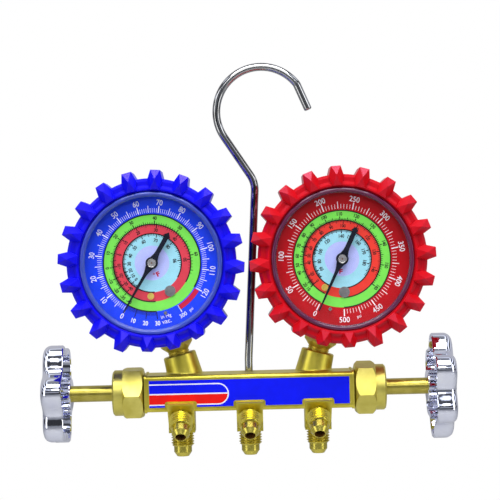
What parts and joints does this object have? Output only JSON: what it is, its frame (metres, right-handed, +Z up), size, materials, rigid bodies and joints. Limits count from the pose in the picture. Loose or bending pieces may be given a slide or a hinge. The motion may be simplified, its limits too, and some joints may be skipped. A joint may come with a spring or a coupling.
{
  "type": "refrigerant manifold gauge",
  "caption": "Brass manifold with a blue and a red pressure gauge in rubber boots, side handwheel valves, flare hose ports, slanted parking ports and a swivelling wire hook.",
  "frame": {"origin": "the hook's hanging point: the inner side of its bight straight above the manifold's middle", "axes": "+X along the manifold bar to the high side, +Y from the dials to the back, +Z up"},
  "size_m": [0.1976, 0.0508, 0.1916],
  "materials": {
    "forged_brass": "satin forged and machined",
    "turned_brass": "bright turned",
    "label_film": "printed blue film with red and white stripes",
    "chrome_wire": "bright chrome",
    "chrome_casting": "bright chrome over die casting",
    "zinc_steel": "zinc plated",
    "stainless_steel": "plain ground",
    "black_rubber": "matte",
    "white_polymer": "plain",
    "blue_rubber": "satin moulded",
    "red_rubber": "satin moulded",
    "case_steel": "black enamel",
    "clear_cover": "clear polished polycarbonate",
    "blue_dial": "printed",
    "red_dial": "printed",
    "pointer_black": "matte black",
    "spring_bronze": "drawn phosphor bronze"
  },
  "bodies": {
    "manifold": {"centre_hose_nipple": "turned_brass", "centre_park_nipple": "turned_brass", "front_label": "label_film", "high_bonnet": "turned_brass", "high_bonnet_gasket": "white_polymer", "high_bourdon_tube": "spring_bronze", "high_case_screws": "zinc_steel", "high_dial_screw": "turned_brass", "high_gauge_boot": "red_rubber", "high_gauge_case": "case_steel", "high_gauge_dial": "red_dial", "high_gauge_lens": "clear_cover", "high_gauge_socket": "forged_brass", "high_hose_nipple": "turned_brass", "high_lens_gasket": "black_rubber", "high_movement_frame": "turned_brass", "high_park_nipple": "turned_brass", "high_stop_pin": "stainless_steel", "high_tube_tip": "turned_brass", "hook_grub_screw": "zinc_steel", "low_bonnet": "turned_brass", "low_bonnet_gasket": "white_polymer", "low_bourdon_tube": "spring_bronze", "low_case_screws": "zinc_steel", "low_dial_screw": "turned_brass", "low_gauge_boot": "blue_rubber", "low_gauge_case": "case_steel", "low_gauge_dial": "blue_dial", "low_gauge_lens": "clear_cover", "low_gauge_socket": "forged_brass", "low_hose_nipple": "turned_brass", "low_lens_gasket": "black_rubber", "low_movement_frame": "turned_brass", "low_park_nipple": "turned_brass", "low_stop_pin": "stainless_steel", "low_tube_tip": "turned_brass", "manifold_body": "forged_brass"},
    "hook": {"hook": "chrome_wire"},
    "low_valve_seat": {"low_seat_disc": "white_polymer"},
    "low_valve_stem": {"low_valve_stem": "stainless_steel", "low_stem_o_ring": "black_rubber", "low_handwheel": "chrome_casting", "low_wheel_screw": "zinc_steel"},
    "low_pointer": {"low_pointer": "pointer_black", "low_pointer_arbor": "stainless_steel", "low_hairspring": "spring_bronze"},
    "low_sector": {"low_toothed_sector": "turned_brass"},
    "low_link": {"low_sector_link": "turned_brass"},
    "low_zero_adjust": {"low_zero_screw": "zinc_steel"},
    "high_valve_seat": {"high_seat_disc": "white_polymer"},
    "high_valve_stem": {"high_valve_stem": "stainless_steel", "high_stem_o_ring": "black_rubber", "high_handwheel": "chrome_casting", "high_wheel_screw": "zinc_steel"},
    "high_pointer": {"high_pointer": "pointer_black", "high_pointer_arbor": "stainless_steel", "high_hairspring": "spring_bronze"},
    "high_sector": {"high_toothed_sector": "turned_brass"},
    "high_link": {"high_sector_link": "turned_brass"},
    "high_zero_adjust": {"high_zero_screw": "zinc_steel"}
  },
  "joints": [
    {"name": "hook_swivel", "type": "hinge", "parent": "manifold", "child": "hook", "pos_m": [0, 0, -0.14543], "axis": [0, 0, 1], "continuous": true},
    {"name": "low_valve_travel", "type": "slide", "parent": "manifold", "child": "low_valve_seat", "axis": [-1, 0, 0], "range_m": [0, 0.00382]},
    {"name": "low_valve_turn", "type": "hinge", "parent": "low_valve_seat", "child": "low_valve_stem", "pos_m": [0, -0.0074, -0.15418], "axis": [-1, 0, 0], "range_deg": [0, 1080]},
    {"name": "low_pointer_turn", "type": "hinge", "parent": "manifold", "child": "low_pointer", "pos_m": [-0.04496, -0.0074, -0.09104], "axis": [0, 1, 0], "range_deg": [-35, 301.5], "stiffness_Nm_per_rad": 0.002},
    {"name": "low_sector_swing", "type": "hinge", "parent": "manifold", "child": "low_sector", "pos_m": [-0.04101, -0.0074, -0.10676], "axis": [0, 1, 0], "range_deg": [-37.89, 4.58]},
    {"name": "low_link_swing", "type": "hinge", "parent": "low_sector", "child": "low_link", "pos_m": [-0.03306, -0.0074, -0.10758], "axis": [0, 1, 0], "range_deg": [-4.58, 37.89]},
    {"name": "low_zero_turn", "type": "hinge", "parent": "manifold", "child": "low_zero_adjust", "pos_m": [-0.03663, -0.0074, -0.10459], "axis": [0, 1, 0], "range_deg": [-90, 90]},
    {"name": "high_valve_travel", "type": "slide", "parent": "manifold", "child": "high_valve_seat", "axis": [1, 0, 0], "range_m": [0, 0.00382]},
    {"name": "high_valve_turn", "type": "hinge", "parent": "high_valve_seat", "child": "high_valve_stem", "pos_m": [0, -0.0074, -0.15418], "axis": [1, 0, 0], "range_deg": [0, 1080]},
    {"name": "high_pointer_turn", "type": "hinge", "parent": "manifold", "child": "high_pointer", "pos_m": [0.04584, -0.0074, -0.09127], "axis": [0, 1, 0], "range_deg": [0, 335.1], "stiffness_Nm_per_rad": 0.002},
    {"name": "high_sector_swing", "type": "hinge", "parent": "manifold", "child": "high_sector", "pos_m": [0.04167, -0.0074, -0.10693], "axis": [0, 1, 0], "range_deg": [-42.09, 0.2]},
    {"name": "high_link_swing", "type": "hinge", "parent": "high_sector", "child": "high_link", "pos_m": [0.04824, -0.0074, -0.1115], "axis": [0, 1, 0], "range_deg": [-0.2, 42.09]},
    {"name": "high_zero_turn", "type": "hinge", "parent": "manifold", "child": "high_zero_adjust", "pos_m": [0.04656, -0.0074, -0.10716], "axis": [0, 1, 0], "range_deg": [-90, 90]}
  ],
  "couplings": [
    {"joint": "low_valve_travel", "follows": "low_valve_turn", "m_per_rad": 0.00020213},
    {"joint": "low_sector_swing", "follows": "low_pointer_turn", "ratio": -0.125},
    {"joint": "low_link_swing", "follows": "low_pointer_turn", "ratio": 0.125},
    {"joint": "high_valve_travel", "follows": "high_valve_turn", "m_per_rad": 0.00020213},
    {"joint": "high_sector_swing", "follows": "high_pointer_turn", "ratio": -0.125},
    {"joint": "high_link_swing", "follows": "high_pointer_turn", "ratio": 0.125}
  ]
}
